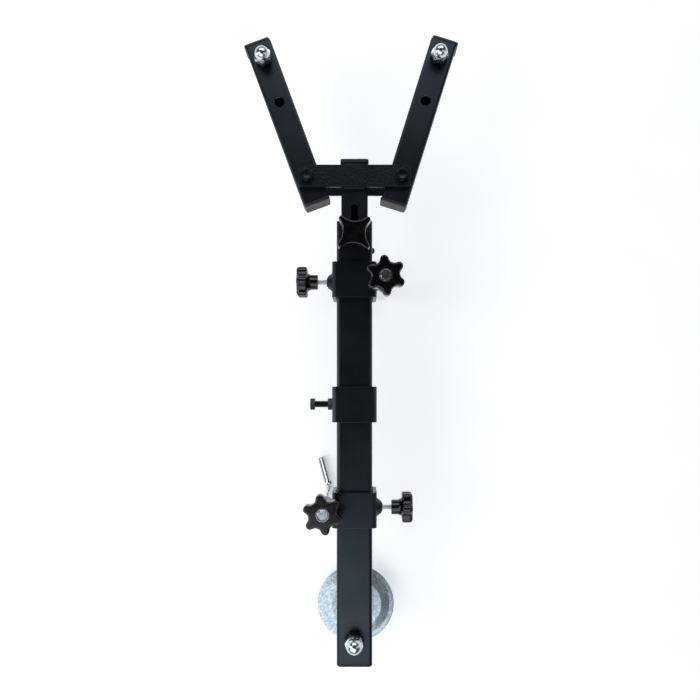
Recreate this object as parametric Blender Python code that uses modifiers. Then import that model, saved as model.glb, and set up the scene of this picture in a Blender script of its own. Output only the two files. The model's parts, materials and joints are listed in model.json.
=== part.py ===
"""Speed bag platform frame: two telescoping square tubes that lie flat across a rack's beams.

Two arms in a V carry the drum board. Three sleeves slide on the mast: the outer two hook round a
beam, and the middle one is a stop. A screw foot with a ball-jointed disc levels the tail.

Metres, +Z up, +Y towards the arms. The origin is under the middle sleeve, on the plane where the
sleeves rest on the beams.
"""

import math

import bmesh
import bpy
from mathutils import Matrix

MM = 0.001

# ---- clearances --------------------------------------------------------------------------------
TOUCH = 0.3 * MM            # between two pieces that meet, and round a thread
SLIDE_FIT = 0.3 * MM        # between the guide bush and the tubes on either side of it
SLEEVE_FIT = 1.0 * MM       # between the mast and a sleeve's inside
SWING_FIT = 3.9 * MM        # between an arm's swinging tail and the inner mast
MERGE = 0.01 * MM

# ---- mast --------------------------------------------------------------------------------------
MAST_SIZE = 40 * MM
MAST_LENGTH = 497 * MM
MAST_TOP_Y = 205.7 * MM
MAST_CORNER = 4 * MM
TUBE_WALL = 2 * MM
CAP_LIP = 3 * MM
CAP_PLUG = 16 * MM
CAP_WALL = 2 * MM
CAP_CORNER = 4.5 * MM
ARM_PLUG = 9 * MM

BUSH_WALL = 2.4 * MM
BUSH_LENGTH = 42 * MM
BUSH_SCREW_DOWN = 30.2 * MM  # from the mast's mouth
BUSH_SCREW_RADIUS = 2 * MM
BUSH_SCREW_HEAD_RADIUS = 3.6 * MM
BUSH_SCREW_HEAD = 2.8 * MM

INNER_SIZE = MAST_SIZE - 2 * TUBE_WALL - 2 * (BUSH_WALL + 2 * SLIDE_FIT)
INNER_CORNER = 3 * MM
INNER_OUT = 66.5 * MM        # how far the inner mast's end stands out of the mast
INNER_LENGTH = 240 * MM
INNER_CAP_LIP = 4 * MM
INNER_CAP_OVERHANG = 1 * MM
GLIDE_LENGTH = 9 * MM
GLIDE_PLUG = 18 * MM
SLOT_DOWN = 47 * MM          # from the inner mast's end to the slot
SLOT_LENGTH = 150 * MM
SLOT_PLAY = 0.8 * MM         # each side of the cross knob's stud

# ---- sleeves -----------------------------------------------------------------------------------
SLEEVE_WALL = 4 * MM
SLEEVE_SIZE = MAST_SIZE + 2 * (SLEEVE_FIT + SLEEVE_WALL)
SLEEVE_LENGTH = 40 * MM
SLEEVE_CORNER = 5 * MM
TOP_SLEEVE_Y = 139.5 * MM
BOTTOM_SLEEVE_Y = -118 * MM

MAST_Z = SLEEVE_SIZE / 2     # the mast's axis above the plane that the sleeves rest on

# ---- arms and cross plates ---------------------------------------------------------------------
ARM_LENGTH = 195 * MM
ARM_TAIL = 31 * MM           # pivot to the arm's lower end
LEFT_LEAN = math.radians(20.3)
RIGHT_LEAN = math.radians(17.3)
PIVOT_DOWN = 16.2 * MM       # from the inner mast's end to the pivots
PIVOT_X = INNER_SIZE / 2 + math.hypot(ARM_TAIL, INNER_SIZE / 2) + SWING_FIT
PLATE_END = 9.8 * MM         # pivot to the plate's end
PLATE_HEIGHT = 25 * MM
PLATE_THICK = 5 * MM
PLATE_CORNER = 4.5 * MM
BOARD_BOLT_DOWN = 24 * MM    # from the arm's upper end
SPARE_HOLE_DOWN = 74 * MM
SPARE_HOLE_RADIUS = 5.7 * MM
BOARD_PAD_GAP = 4 * MM       # from the hole and the nut to the clear face between them

# ---- threads and hexagons -----------------------------------------------------------------------
M6 = 3 * MM                  # a thread's radius
M8 = 4 * MM
M10 = 5 * MM
M12 = 6 * MM
NUT_M8 = 13 * MM             # across flats
NUT_M10 = 17 * MM
NUT_M12 = 19 * MM
HEAD_M8 = 5.3 * MM
THICK_M8 = 6.5 * MM
JAM_M10 = 6 * MM
JAM_M12 = 5 * MM
THICK_M12 = 10 * MM
ACORN_HEX_M10 = 8 * MM
ACORN_HEX_M12 = 10 * MM
ACORN_TALL_M10 = 18 * MM
ACORN_TALL_M12 = 22 * MM
ACORN_WALL = 2 * MM
BOARD_BOLT_HEAD_RADIUS = 10 * MM
BOARD_BOLT_HEAD = 5 * MM

BOLT_TURN = math.radians(30)
ACORN_TURN = {"left": math.radians(10), "right": math.radians(9)}
FOOT_ACORN_TURN = math.radians(-10)

# ---- cross knob on the mast --------------------------------------------------------------------
CROSS_DOWN = 19 * MM         # from the mast's mouth
CROSS_TIP = 23.2 * MM
CROSS_WAIST = 12.2 * MM
CROSS_LOBE = 2.9 * MM
CROSS_TALL = 20 * MM
CROSS_STAND = 10 * MM        # mast face to the knob's underside
CROSS_HUB = 4 * MM
CROSS_TURN = math.radians(42.6)
WELD_NUT_TALL = 6.5 * MM

# ---- clamp knobs on the hook sleeves -----------------------------------------------------------
BOSS_TALL = 5.2 * MM
BOSS_BASE_RADIUS = 11 * MM
BOSS_TOP_RADIUS = 7.3 * MM
CLAMP_GAP = 11.5 * MM        # bare stud between the boss and the knob
CLAMP_HUB_RADIUS = 8.5 * MM
CLAMP_HUB = 12 * MM
CLAMP_TIP = 18.5 * MM
CLAMP_NOTCH = 15 * MM
CLAMP_LOBE = 5 * MM
CLAMP_HEAD = 12 * MM
TIP_TALL = 2 * MM
SET_BOLT_SHOW = 14.8 * MM    # bare thread between the nut and the bolt's head

# ---- hooks and star knobs ----------------------------------------------------------------------
LUG_RADIUS = 8.7 * MM
HOOK_OUT = SLEEVE_SIZE / 2 + TOUCH + LUG_RADIUS  # mast axis to hook axis
HOOK_DROP = 140 * MM         # mast axis down to the hook's leg
HOOK_LEG = 51.5 * MM
HOOK_BEND = 12 * MM
HOOK_CHAMFER = 1.1 * MM
TOP_HOOK_TURN = math.radians(4)
BOTTOM_HOOK_TURN = math.radians(9)
LUG_TALL = SLEEVE_SIZE - 4 * MM
STAR_HUB_RADIUS = 10 * MM
STAR_HUB = 15 * MM
STAR_HEAD = 17 * MM
STAR_TIP = 22 * MM
STAR_NOTCH = 15.5 * MM
STAR_LOBE = 4.6 * MM
INSERT_WALL = 1.3 * MM
TOP_STAR_TURN = math.radians(-25)
BOTTOM_STAR_TURN = math.radians(-20)

# ---- foot --------------------------------------------------------------------------------------
FOOT_UP = 27 * MM            # from the mast tube's lower end
FOOT_DROP = 121 * MM         # mast axis down to the floor side of the disc
DISC_RADIUS = 50 * MM
DISC_RIDGE_RADIUS = 32 * MM
DISC_RIDGE = 3.5 * MM        # the ridge above the flat rim
DISC_SAG = 1.5 * MM          # the middle below the ridge
DISC_RIM = 5 * MM            # width of the flat rim
DISC_SHEET = 2.5 * MM
BALL_RADIUS = 8 * MM
NECK_RADIUS = 4.5 * MM
SOCKET_WALL = 3.5 * MM
SOCKET_MOUTH = 6.6 * MM

ROUND = 24                   # sides of a round piece that shows
PLAIN = 14                   # sides of a round piece or bore that doesn't
ALONG_Y = (-math.pi / 2, 0, 0)
ALONG_MINUS_Y = (math.pi / 2, 0, 0)
TO_RIGHT = (0, math.pi / 2, 0)
TO_LEFT = (0, -math.pi / 2, 0)


# ================================ tools =========================================================
def material(name, colour, roughness, metallic):
    """A plain Principled material."""
    made = bpy.data.materials.new(name)
    made.use_nodes = True
    shader = made.node_tree.nodes["Principled BSDF"]
    shader.inputs["Base Color"].default_value = (*colour, 1)
    shader.inputs["Roughness"].default_value = roughness
    shader.inputs["Metallic"].default_value = metallic
    made.diffuse_color = (*colour, 1)
    return made


def empty(name, at, turn=(0, 0, 0), parent=None):
    """A frame that a group of pieces hangs on."""
    made = bpy.data.objects.new(name, None)
    parts.objects.link(made)
    made.parent = parent
    made.location = at
    made.rotation_euler = turn
    return made


def piece(name, mesh, finish, parent, at=(0, 0, 0), turn=(0, 0, 0)):
    """One physical piece, with its own copy of the finish."""
    made = bpy.data.objects.new(name, mesh)
    parts.objects.link(made)
    made.parent = parent
    made.location = at
    made.rotation_euler = turn
    own = finish.copy()
    own.name = name
    mesh.materials.clear()
    mesh.materials.append(own)
    return made


def helper(mesh, parent, at=(0, 0, 0), turn=(0, 0, 0)):
    """A hidden shape for a Boolean."""
    made = bpy.data.objects.new("helper", mesh)
    cutters.objects.link(made)
    made.parent = parent
    made.location = at
    made.rotation_euler = turn
    made.hide_render = True
    made.display_type = "WIRE"
    return made


def combine(item, other, operation):
    """A live Boolean of one piece with a helper."""
    step = item.modifiers.new(operation.lower(), "BOOLEAN")
    step.operation = operation
    step.solver = "EXACT"
    step.object = other


def smooth(mesh):
    """Smooth shading with the edges over 30 degrees kept sharp."""
    mesh.shade_smooth()
    mesh.set_sharp_from_angle(angle=math.radians(30))


def ring_outline(radius, sides=ROUND):
    """A circle as points."""
    return [
        (radius * math.cos(math.tau * i / sides), radius * math.sin(math.tau * i / sides))
        for i in range(sides)
    ]


def hex_outline(across_flats):
    """A hexagon with two corners on the X axis."""
    return ring_outline(across_flats / 2 / math.cos(math.pi / 6), 6)


def box_outline(width, height, corner, steps=3):
    """A rectangle about the origin with round corners."""
    points = []
    for quarter, (side_x, side_y) in enumerate(((1, 1), (-1, 1), (-1, -1), (1, -1))):
        centre_x = side_x * (width / 2 - corner)
        centre_y = side_y * (height / 2 - corner)
        for i in range(steps + 1):
            angle = math.pi / 2 * (quarter + i / steps)
            points.append((centre_x + corner * math.cos(angle), centre_y + corner * math.sin(angle)))
    return points


def lobed_outline(lobes, tip, notch, lobe, lobe_steps=4, scoop_steps=4):
    """Round lobes joined by hollow arcs that meet them without a corner."""
    half = math.pi / lobes
    reach = tip - lobe
    flat = reach * math.cos(half)
    scoop = (reach**2 + notch**2 - 2 * notch * flat - lobe**2) / (2 * (lobe + flat - notch))
    far = notch + scoop
    meet = math.atan2(far * math.sin(half), far * math.cos(half) - reach)
    spread = meet - half
    points = []
    for i in range(lobes):
        heading = 2 * half * i
        for step in range(lobe_steps + 1):
            angle = heading + meet * (2 * step / lobe_steps - 1)
            points.append(on_arc(reach, heading, lobe, angle))
        for step in range(1, scoop_steps):
            angle = heading + half + math.pi + spread * (1 - 2 * step / scoop_steps)
            points.append(on_arc(far, heading + half, scoop, angle))
    return points


def on_arc(centre_distance, centre_heading, radius, angle):
    """A point on an arc whose centre is given by its distance and heading."""
    return (
        centre_distance * math.cos(centre_heading) + radius * math.cos(angle),
        centre_distance * math.sin(centre_heading) + radius * math.sin(angle),
    )


def prism(outlines, tall, fill="BOTH"):
    """A flat outline, with any holes in it, raised from Z = 0 to tall. Fill NONE leaves only the wall."""
    curve = bpy.data.curves.new("outline", "CURVE")
    curve.dimensions = "2D"
    curve.fill_mode = fill
    curve.extrude = tall / 2
    for outline in outlines:
        spline = curve.splines.new("POLY")
        spline.points.add(len(outline) - 1)
        spline.use_cyclic_u = True
        for point, (x, y) in zip(spline.points, outline):
            point.co = (x, y, 0, 1)
    holder = bpy.data.objects.new("outline", curve)
    bpy.context.scene.collection.objects.link(holder)
    mesh = bpy.data.meshes.new_from_object(holder.evaluated_get(bpy.context.evaluated_depsgraph_get()))
    bpy.data.objects.remove(holder)
    bpy.data.curves.remove(curve)
    shape = bmesh.new()
    shape.from_mesh(mesh)
    bmesh.ops.remove_doubles(shape, verts=shape.verts, dist=MERGE)
    bmesh.ops.translate(shape, verts=shape.verts, vec=(0, 0, tall / 2))
    bmesh.ops.recalc_face_normals(shape, faces=shape.faces)
    shape.to_mesh(mesh)
    shape.free()
    smooth(mesh)
    return mesh


def rod(radius, low, high, end_radius=None, sides=ROUND):
    """A round bar or cone along Z."""
    shape = bmesh.new()
    bmesh.ops.create_cone(
        shape,
        cap_ends=True,
        segments=sides,
        radius1=radius,
        radius2=radius if end_radius is None else end_radius,
        depth=high - low,
        matrix=Matrix.Translation((0, 0, (low + high) / 2)),
    )
    mesh = bpy.data.meshes.new("rod")
    shape.to_mesh(mesh)
    shape.free()
    smooth(mesh)
    return mesh


def turned(profile, sides=ROUND, closed=False):
    """A profile of (radius, height) points, run down its outer side, and turned about Z."""
    mesh = bpy.data.meshes.new("profile")
    edges = [(i, i + 1) for i in range(len(profile) - 1)]
    if closed:
        edges.append((len(profile) - 1, 0))
    mesh.from_pydata([(r, 0, z) for r, z in profile], edges, [])
    holder = bpy.data.objects.new("profile", mesh)
    bpy.context.scene.collection.objects.link(holder)
    spin = holder.modifiers.new("turn", "SCREW")
    spin.steps = sides
    spin.render_steps = sides
    spin.use_merge_vertices = True
    spin.merge_threshold = MERGE
    made = bpy.data.meshes.new_from_object(holder.evaluated_get(bpy.context.evaluated_depsgraph_get()))
    bpy.data.objects.remove(holder)
    bpy.data.meshes.remove(mesh)
    smooth(made)
    return made


def bore(item, radius, low, high, at=(0, 0, 0), turn=(0, 0, 0), sides=PLAIN):
    """A round hole cut along a helper's Z, from low to high."""
    combine(item, helper(rod(radius, low, high, sides=sides), item.parent, at, turn), "DIFFERENCE")


def tube(name, size, corner, wall, length, finish, parent, at, rings=()):
    """A square tube along Y, starting at its lower end. Rings part its faces at lengths from there."""
    mesh = prism([box_outline(size, size, corner)], length, "NONE")
    shape = bmesh.new()
    shape.from_mesh(mesh)
    for along in rings:
        everything = shape.verts[:] + shape.edges[:] + shape.faces[:]
        bmesh.ops.bisect_plane(shape, geom=everything, dist=MERGE, plane_co=(0, 0, along), plane_no=(0, 0, 1))
    shape.to_mesh(mesh)
    shape.free()
    made = piece(name, mesh, finish, parent, at, ALONG_Y)
    skin = made.modifiers.new("wall", "SOLIDIFY")
    skin.thickness = wall
    skin.offset = -1
    skin.use_even_offset = True
    return made


def end_cap(name, size, corner, plug_size, plug_corner, lip, plug, parent, at, up=True):
    """A push-in end cap along Y: a lip over the tube's end and a hollow plug inside it."""
    turn = ALONG_Y if up else ALONG_MINUS_Y
    cap = piece(name, prism([box_outline(size, size, corner)], lip), PLASTIC, parent, at, turn)
    solid = prism([box_outline(plug_size, plug_size, plug_corner)], plug + lip / 2)
    hollow_size = plug_size - 2 * CAP_WALL
    hollow = prism([box_outline(hollow_size, hollow_size, plug_corner)], plug)
    for mesh, start, operation in ((solid, -plug, "UNION"), (hollow, -plug - CAP_WALL, "DIFFERENCE")):
        shifted = helper(mesh, cap, (0, 0, start))
        combine(cap, shifted, operation)
    return cap


def edge_bevel(item, width, segments=1, angle=50):
    """Takes the sharp edges off a piece."""
    step = item.modifiers.new("edges", "BEVEL")
    step.width = width
    step.segments = segments
    step.limit_method = "ANGLE"
    step.angle_limit = math.radians(angle)


def nut(name, across_flats, thread, tall, finish, parent, at=(0, 0, 0), turn=(0, 0, 0)):
    """A plain hexagon nut standing on Z = 0."""
    outlines = [hex_outline(across_flats), ring_outline(thread + TOUCH, PLAIN)]
    return piece(name, prism(outlines, tall), finish, parent, at, turn)


def acorn_nut(name, across_flats, thread, hex_tall, tall, finish, parent, at, turn):
    """A domed nut standing on Z = 0, with a blind thread."""
    made = piece(name, prism([hex_outline(across_flats)], hex_tall), finish, parent, at, turn)
    dome_radius = across_flats / 2 * 0.93
    neck = tall - dome_radius
    arc = [math.pi / 2 * i / 5 for i in range(6)]
    profile = [(dome_radius * math.sin(a), neck + dome_radius * math.cos(a)) for a in arc]
    profile += [(dome_radius, hex_tall / 2), (0, hex_tall / 2)]
    combine(made, helper(turned(profile, 18), made), "UNION")
    deep = tall - ACORN_WALL - thread
    combine(made, helper(rod(thread + TOUCH, -TOUCH, deep, sides=PLAIN), made), "DIFFERENCE")
    return made


def hex_bolt(name, across_flats, head, thread, length, finish, parent, at, turn=(0, 0, 0)):
    """A hexagon bolt along Z: its head stands on Z = 0 and its thread hangs below."""
    made = piece(name, prism([hex_outline(across_flats)], head), finish, parent, at, turn)
    combine(made, helper(rod(thread, -length, head / 2, sides=PLAIN), made), "UNION")
    return made


def lobed_knob(name, outline, head, hub_radius, hub, finish, parent, at, turn, bore_radius, bore_deep):
    """A moulded grip: a lobed head on a round hub that stands on Z = 0, bored from below."""
    made = piece(name, prism([outline], head), finish, parent, at, turn)
    for vertex in made.data.vertices:
        vertex.co.z += hub
    edge_bevel(made, 1.6 * MM)
    combine(made, helper(rod(hub_radius, 0, hub + head / 2), made), "UNION")
    combine(made, helper(rod(bore_radius, -TOUCH, bore_deep, sides=PLAIN), made), "DIFFERENCE")
    return made


# ================================ the mast ======================================================
def build_mast():
    """The fixed outer tube, its end cap and the bush that guides the inner mast."""
    root = empty("mast", (0, 0, MAST_Z))
    bottom_y = MAST_TOP_Y - MAST_LENGTH
    mast = tube(
        "outer_mast_tube", MAST_SIZE, MAST_CORNER, TUBE_WALL, MAST_LENGTH, PAINT, root, (0, bottom_y, 0)
    )
    half = MAST_SIZE / 2
    inside = MAST_SIZE - 2 * TUBE_WALL
    end_cap(
        "outer_mast_cap", MAST_SIZE, CAP_CORNER, inside - 2 * TOUCH, MAST_CORNER - TUBE_WALL, CAP_LIP,
        CAP_PLUG, root, (0, bottom_y - TOUCH, 0), up=False,
    )

    bush_outer = inside - 2 * SLIDE_FIT
    bush_outlines = [
        box_outline(bush_outer, bush_outer, MAST_CORNER - TUBE_WALL),
        box_outline(INNER_SIZE + 2 * SLIDE_FIT, INNER_SIZE + 2 * SLIDE_FIT, INNER_CORNER - SLIDE_FIT),
    ]
    bush = piece(
        "guide_bush", prism(bush_outlines, BUSH_LENGTH), PLASTIC, root,
        (0, MAST_TOP_Y - BUSH_LENGTH, 0), ALONG_Y,
    )

    screw_y = MAST_TOP_Y - BUSH_SCREW_DOWN
    screw = piece(
        "bush_screw", rod(BUSH_SCREW_HEAD_RADIUS, 0, BUSH_SCREW_HEAD, sides=PLAIN), DARK_STEEL, root,
        (half + TOUCH, screw_y, 0), TO_RIGHT,
    )
    edge_bevel(screw, 0.8 * MM)
    shank_deep = TUBE_WALL + BUSH_WALL
    shank = rod(BUSH_SCREW_RADIUS, -shank_deep, BUSH_SCREW_HEAD / 2, sides=PLAIN)
    combine(screw, helper(shank, screw), "UNION")
    for item in (mast, bush):
        bore(item, BUSH_SCREW_RADIUS + TOUCH, half / 2, half + TUBE_WALL, (0, screw_y, 0), TO_RIGHT)

    knob_y = MAST_TOP_Y - CROSS_DOWN
    nut("knob_weld_nut", NUT_M8, M6, WELD_NUT_TALL, PAINT, root, (0, knob_y, half + TOUCH))
    for item in (mast, bush):
        bore(item, M6 + TOUCH, half / 2, half + TUBE_WALL, (0, knob_y, 0))
    bore(mast, M12 + TOUCH, -half - TUBE_WALL, half + TUBE_WALL, (0, bottom_y + FOOT_UP, 0))
    return root


def build_inner_mast():
    """The sliding tube with its slot, the cross plates and the arms' pivot bolts."""
    top_y = MAST_TOP_Y + INNER_OUT
    root = empty("inner_mast", (0, top_y, MAST_Z))
    mast = tube(
        "inner_mast_tube", INNER_SIZE, INNER_CORNER, TUBE_WALL, INNER_LENGTH, PAINT, root,
        (0, -INNER_LENGTH, 0),
    )
    slot_width = 2 * (M6 + SLOT_PLAY)
    slot = prism([box_outline(slot_width, SLOT_LENGTH, slot_width / 2, 6)], INNER_SIZE)
    combine(mast, helper(slot, root, (0, -SLOT_DOWN - SLOT_LENGTH / 2, 0)), "DIFFERENCE")

    plug = INNER_SIZE - 2 * TUBE_WALL - 2 * TOUCH
    plug_corner = INNER_CORNER - TUBE_WALL
    cap_size = INNER_SIZE + 2 * INNER_CAP_OVERHANG
    end_cap(
        "inner_mast_cap", cap_size, INNER_CORNER, plug, plug_corner, INNER_CAP_LIP, CAP_PLUG, root,
        (0, TOUCH, 0),
    )
    glide_size = MAST_SIZE - 2 * TUBE_WALL - 2 * SLIDE_FIT
    end_cap(
        "inner_mast_glide", glide_size, MAST_CORNER - TUBE_WALL, plug, plug_corner, GLIDE_LENGTH, GLIDE_PLUG,
        root, (0, -INNER_LENGTH - TOUCH, 0), up=False,
    )

    plate_length = 2 * (PIVOT_X + PLATE_END)
    for side, name in ((1, "cross_plate_front"), (-1, "cross_plate_rear")):
        near = INNER_SIZE / 2 + TOUCH
        start = near if side > 0 else -near - PLATE_THICK
        mesh = prism([box_outline(plate_length, PLATE_HEIGHT, PLATE_CORNER)], PLATE_THICK)
        plate = piece(name, mesh, WRINKLE_PAINT, root, (0, -PIVOT_DOWN, start))
        for pivot_x in (-PIVOT_X, PIVOT_X):
            bore(plate, M8 + TOUCH, -INNER_SIZE, INNER_SIZE, (pivot_x, -PIVOT_DOWN, 0))

    outer_face = INNER_SIZE / 2 + TOUCH + PLATE_THICK + TOUCH
    for side, word in ((-1, "left"), (1, "right")):
        at = (side * PIVOT_X, -PIVOT_DOWN, outer_face)
        length = 2 * outer_face + THICK_M8 + TOUCH + M8 / 2
        hex_bolt(
            f"pivot_bolt_{word}", NUT_M8, HEAD_M8, M8, length, DARK_STEEL, root, at, (0, 0, BOLT_TURN)
        )
        nut(
            f"pivot_nut_{word}", NUT_M8, M8, THICK_M8, DARK_STEEL, root,
            (side * PIVOT_X, -PIVOT_DOWN, -outer_face - THICK_M8),
        )
    return root


def build_arm(word, side, lean, parent):
    """A board arm on its pivot, with its caps and the drum board's bolt."""
    root = empty(f"arm_{word}", (side * PIVOT_X, -PIVOT_DOWN, 0), (0, 0, -side * lean), parent)
    tube_length = ARM_LENGTH - 2 * (CAP_LIP + TOUCH)
    low_y = -ARM_TAIL + CAP_LIP + TOUCH
    top_y = low_y + tube_length
    end_y = ARM_LENGTH - ARM_TAIL
    bolt_y = end_y - BOARD_BOLT_DOWN
    spare_y = end_y - SPARE_HOLE_DOWN
    board_pad = (spare_y + SPARE_HOLE_RADIUS + BOARD_PAD_GAP, bolt_y - NUT_M10 / 2 - BOARD_PAD_GAP)
    arm = tube(
        f"arm_tube_{word}", INNER_SIZE, INNER_CORNER, TUBE_WALL, tube_length, PAINT, root, (0, low_y, 0),
        [pad_y - low_y for pad_y in board_pad],
    )
    plug = INNER_SIZE - 2 * TUBE_WALL - 2 * TOUCH
    for end, end_y, up in (("top", top_y + TOUCH, True), ("bottom", low_y - TOUCH, False)):
        end_cap(
            f"arm_{end}_cap_{word}", INNER_SIZE, INNER_CORNER, plug, INNER_CORNER - TUBE_WALL, CAP_LIP,
            ARM_PLUG, root, (0, end_y, 0), up,
        )

    reach = INNER_SIZE
    bore(arm, M8 + TOUCH, -reach, reach)
    bore(arm, M10 + TOUCH, -reach, reach, (0, bolt_y, 0))
    bore(arm, SPARE_HOLE_RADIUS, -reach, reach, (0, spare_y, 0), sides=ROUND)

    face = INNER_SIZE / 2 + TOUCH
    bolt = piece(
        f"board_bolt_{word}", rod(BOARD_BOLT_HEAD_RADIUS, -BOARD_BOLT_HEAD, 0), ZINC, root, (0, bolt_y, -face)
    )
    edge_bevel(bolt, 2 * MM)
    jam_top = 2 * face + JAM_M10
    shank = rod(M10, -BOARD_BOLT_HEAD / 2, jam_top + ACORN_HEX_M10, sides=PLAIN)
    combine(bolt, helper(shank, bolt), "UNION")
    acorn_turn = (0, 0, ACORN_TURN[word])
    nut(f"board_jam_nut_{word}", NUT_M10, M10, JAM_M10, DARK_STEEL, root, (0, bolt_y, face), acorn_turn)
    acorn_nut(
        f"board_acorn_nut_{word}", NUT_M10, M10, ACORN_HEX_M10, ACORN_TALL_M10, ZINC, root,
        (0, bolt_y, face + JAM_M10 + TOUCH), acorn_turn,
    )
    return root


# ================================ clamps ========================================================
def build_cross_knob(parent):
    """The knob that pins and clamps the inner mast through its slot."""
    half = MAST_SIZE / 2
    root = empty("cross_clamp", (0, MAST_TOP_Y - CROSS_DOWN, 0), (0, 0, 0), parent)
    tip_z = -(INNER_SIZE / 2 - TUBE_WALL) + TOUCH
    piece("cross_knob_tip", rod(M6, 0, TIP_TALL, sides=PLAIN), PLASTIC, root, (0, 0, tip_z))
    stud_z = tip_z + TIP_TALL + TOUCH
    knob_z = half + CROSS_STAND
    stud_end = knob_z + CROSS_TALL / 2
    piece("cross_knob_stud", rod(M6, 0, stud_end - stud_z, sides=PLAIN), ZINC, root, (0, 0, stud_z))
    outline = lobed_outline(4, CROSS_TIP, CROSS_WAIST, CROSS_LOBE)
    lobed_knob(
        "cross_knob", outline, CROSS_TALL - CROSS_HUB, CROSS_WAIST - 3 * MM, CROSS_HUB, PLASTIC, root,
        (0, 0, knob_z), (0, 0, CROSS_TURN), M6 + TOUCH, CROSS_TALL / 2 + TOUCH,
    )


def build_clamp_screw(word, side, parent):
    """A lobed clamp knob that screws through a weld boss and a nylon tip against the mast."""
    root = empty(f"clamp_{word}", (0, 0, 0), TO_RIGHT if side > 0 else TO_LEFT, parent)
    wall = SLEEVE_SIZE / 2 + TOUCH
    cone = rod(BOSS_BASE_RADIUS, wall, wall + BOSS_TALL, BOSS_TOP_RADIUS)
    boss = piece(f"clamp_boss_{word}", cone, PAINT, root)
    bore(boss, M6 + TOUCH, 0, wall + 2 * BOSS_TALL)
    tip_z = MAST_SIZE / 2 + TOUCH
    piece(f"clamp_tip_{word}", rod(M6, 0, TIP_TALL, sides=PLAIN), PLASTIC, root, (0, 0, tip_z))
    stud_z = tip_z + TIP_TALL + TOUCH
    knob_z = wall + BOSS_TALL + CLAMP_GAP
    stud_end = knob_z + CLAMP_HUB
    piece(f"clamp_stud_{word}", rod(M6, 0, stud_end - stud_z), ZINC, root, (0, 0, stud_z))
    outline = lobed_outline(6, CLAMP_TIP, CLAMP_NOTCH, CLAMP_LOBE)
    lobed_knob(
        f"clamp_knob_{word}", outline, CLAMP_HEAD, CLAMP_HUB_RADIUS, CLAMP_HUB, PLASTIC, root,
        (0, 0, knob_z), (0, 0, 0), M6 + TOUCH, CLAMP_HUB + TOUCH,
    )


def build_set_bolt(parent):
    """The stop sleeve's hexagon set bolt in its weld nut."""
    root = empty("set_screw", (0, 0, 0), TO_LEFT, parent)
    wall = SLEEVE_SIZE / 2 + TOUCH
    nut("set_bolt_nut", NUT_M8, M8, HEAD_M8, PAINT, root, (0, 0, wall))
    tip_z = MAST_SIZE / 2 + TOUCH
    piece("set_bolt_tip", rod(M8, 0, TIP_TALL, sides=PLAIN), PLASTIC, root, (0, 0, tip_z))
    head_z = wall + HEAD_M8 + SET_BOLT_SHOW
    length = head_z - tip_z - TIP_TALL - TOUCH
    hex_bolt("set_bolt", NUT_M8, HEAD_M8, M8, length, DARK_STEEL, root, (0, 0, head_z))


def build_hook(word, side, hook_turn, star_turn, parent):
    """A lug on the sleeve's side, the hook bolt that slides in it and the star knob that draws it up."""
    root = empty(f"hook_{word}", (side * HOOK_OUT, 0, 0), (0, 0, 0), parent)
    lug_top = LUG_TALL / 2
    outlines = [ring_outline(LUG_RADIUS), ring_outline(M12 + TOUCH)]
    piece(f"hook_lug_{word}", prism(outlines, LUG_TALL), PAINT, root, (0, 0, -lug_top))

    knob_z = lug_top + TOUCH
    knob_tall = STAR_HUB + STAR_HEAD
    insert_radius = M12 + TOUCH + INSERT_WALL
    outlines = [ring_outline(insert_radius), ring_outline(M12 + TOUCH)]
    piece(f"star_insert_{word}", prism(outlines, knob_tall), ZINC, root, (0, 0, knob_z))
    outline = lobed_outline(6, STAR_TIP, STAR_NOTCH, STAR_LOBE)
    lobed_knob(
        f"star_knob_{word}", outline, STAR_HEAD, STAR_HUB_RADIUS, STAR_HUB, PLASTIC, root,
        (0, 0, knob_z), (0, 0, star_turn), insert_radius + TOUCH, knob_tall + TOUCH,
    )

    mesh = hook_mesh(knob_z + knob_tall)
    piece(f"hook_bolt_{word}", mesh, ZINC, root, (0, 0, 0), (0, 0, hook_turn))


def hook_mesh(top):
    """A round bar: straight down, round the bend and along its leg, with a chamfer at both ends."""
    curve = bpy.data.curves.new("hook", "CURVE")
    curve.dimensions = "3D"
    curve.bevel_depth = M12
    curve.bevel_resolution = 3
    curve.use_fill_caps = True
    centre_y = HOOK_BEND
    centre_z = -HOOK_DROP + HOOK_BEND
    middle = [(0, top, M12 - HOOK_CHAMFER), (0, top - HOOK_CHAMFER, M12)]
    for i in range(7):
        angle = math.pi + math.pi / 2 * i / 6
        middle.append((centre_y + HOOK_BEND * math.cos(angle), centre_z + HOOK_BEND * math.sin(angle), M12))
    tip_y = HOOK_LEG - M12
    middle += [(tip_y - HOOK_CHAMFER * 2, -HOOK_DROP, M12), (tip_y, -HOOK_DROP, M12 - HOOK_CHAMFER)]
    spline = curve.splines.new("POLY")
    spline.points.add(len(middle) - 1)
    for point, (y, z, radius) in zip(spline.points, middle):
        point.co = (0, y, z, 1)
        point.radius = radius / M12
    holder = bpy.data.objects.new("hook", curve)
    bpy.context.scene.collection.objects.link(holder)
    mesh = bpy.data.meshes.new_from_object(holder.evaluated_get(bpy.context.evaluated_depsgraph_get()))
    bpy.data.objects.remove(holder)
    bpy.data.curves.remove(curve)
    shape = bmesh.new()
    shape.from_mesh(mesh)
    bmesh.ops.remove_doubles(shape, verts=shape.verts, dist=MERGE)
    bmesh.ops.recalc_face_normals(shape, faces=shape.faces)
    shape.to_mesh(mesh)
    shape.free()
    smooth(mesh)
    return mesh


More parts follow.
